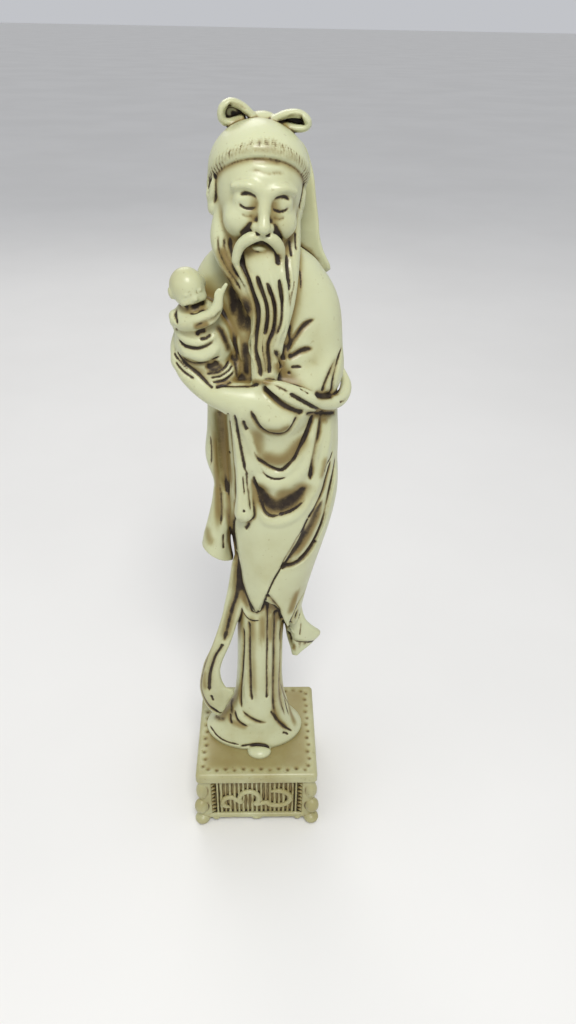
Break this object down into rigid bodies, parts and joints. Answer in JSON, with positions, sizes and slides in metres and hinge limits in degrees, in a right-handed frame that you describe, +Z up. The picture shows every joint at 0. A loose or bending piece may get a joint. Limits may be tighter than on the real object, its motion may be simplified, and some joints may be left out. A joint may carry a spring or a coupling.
{
  "type": "porcelain figure",
  "caption": "Standing robed elder with a long beard who holds a small child on one arm, cast in one piece on a square footed plinth with reeded sides.",
  "frame": {"origin": "centre of the underside, on the ground, under the middle of the whole figure's width and depth", "axes": "+Z up the figure, -Y out of the figure's front, +X to the side of the free arm"},
  "size_m": [0.0663, 0.059, 0.3062],
  "materials": {
    "ivory_cast": "satin pale ivory green with brown stain rubbed into the grooves",
    "ivory_cast_stained": "satin ivory with heavier brown stain in the reeding"
  },
  "bodies": {
    "root": {"figure": "ivory_cast", "plinth": "ivory_cast_stained"}
  },
  "joints": []
}
